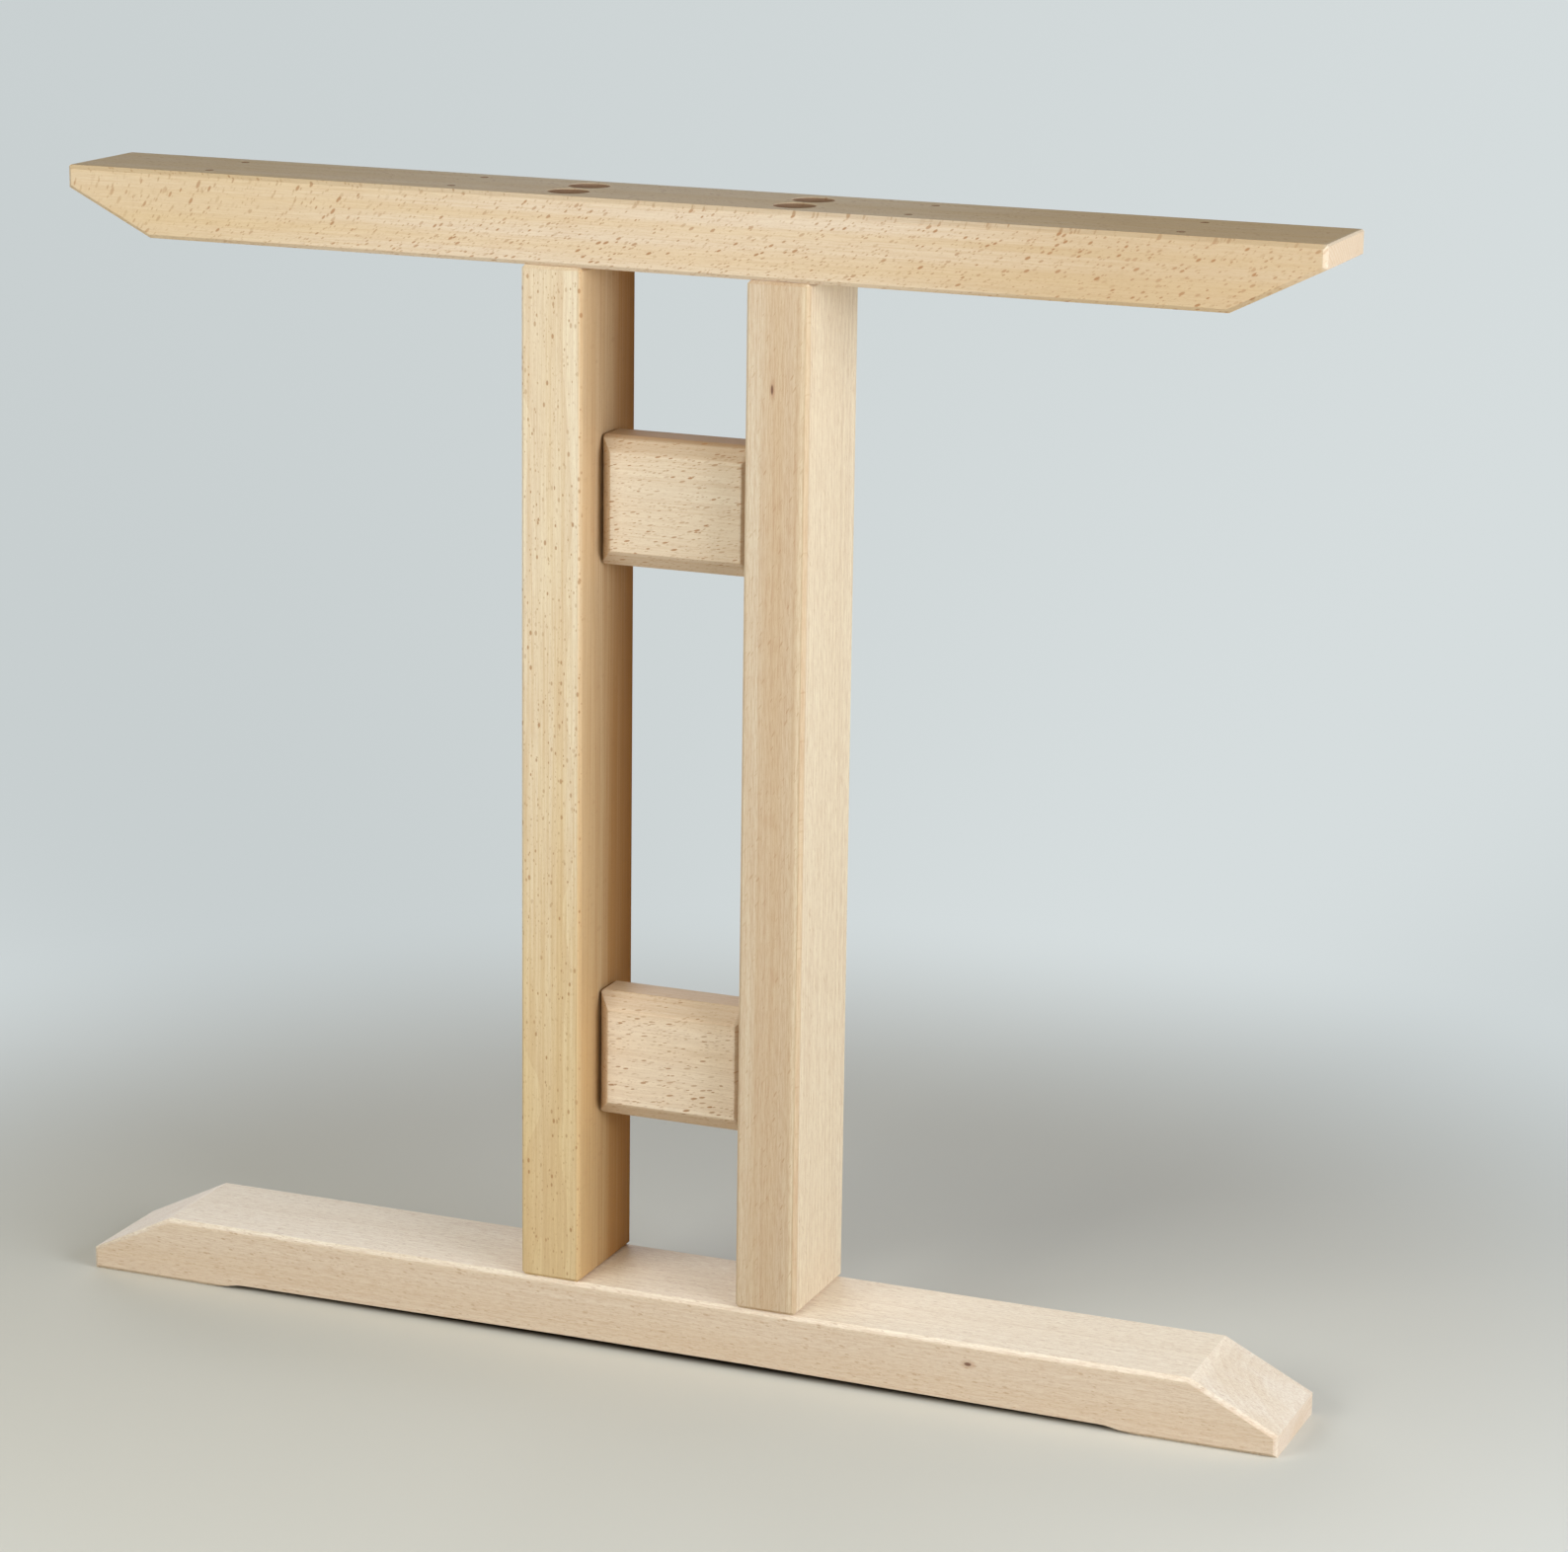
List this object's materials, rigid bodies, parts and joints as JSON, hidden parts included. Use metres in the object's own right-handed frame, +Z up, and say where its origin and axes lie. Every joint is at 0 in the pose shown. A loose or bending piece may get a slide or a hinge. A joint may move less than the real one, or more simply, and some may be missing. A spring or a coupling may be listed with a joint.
{
  "type": "table leg",
  "caption": "Wooden trestle leg: a beam under the table top, two close posts joined by bevelled rails, and a long foot with a hollowed underside.",
  "frame": {"origin": "on the floor, midway between the two posts and midway between front and back", "axes": "+X along the beam and the foot, +Y from the front to the back, +Z up"},
  "size_m": [0.8, 0.08, 0.72],
  "materials": {
    "beech": "clear matt oil",
    "tenon_wood": "unfinished",
    "zinc_steel": "bright zinc plate"
  },
  "bodies": {
    "root": {"beam_screw_left_back": "zinc_steel", "beam_screw_left_front": "zinc_steel", "beam_screw_right_back": "zinc_steel", "beam_screw_right_front": "zinc_steel", "beam_washers": "zinc_steel", "foot": "beech", "foot_screw_left_back": "zinc_steel", "foot_screw_left_front": "zinc_steel", "foot_screw_right_back": "zinc_steel", "foot_screw_right_front": "zinc_steel", "foot_washers": "zinc_steel", "left_post": "beech", "lower_rail": "beech", "lower_rail_left_tenon_lower": "tenon_wood", "lower_rail_left_tenon_upper": "tenon_wood", "lower_rail_right_tenon_lower": "tenon_wood", "lower_rail_right_tenon_upper": "tenon_wood", "right_post": "beech", "top_beam": "beech", "upper_rail": "beech", "upper_rail_left_tenon_lower": "tenon_wood", "upper_rail_left_tenon_upper": "tenon_wood", "upper_rail_right_tenon_lower": "tenon_wood", "upper_rail_right_tenon_upper": "tenon_wood"}
  },
  "joints": []
}
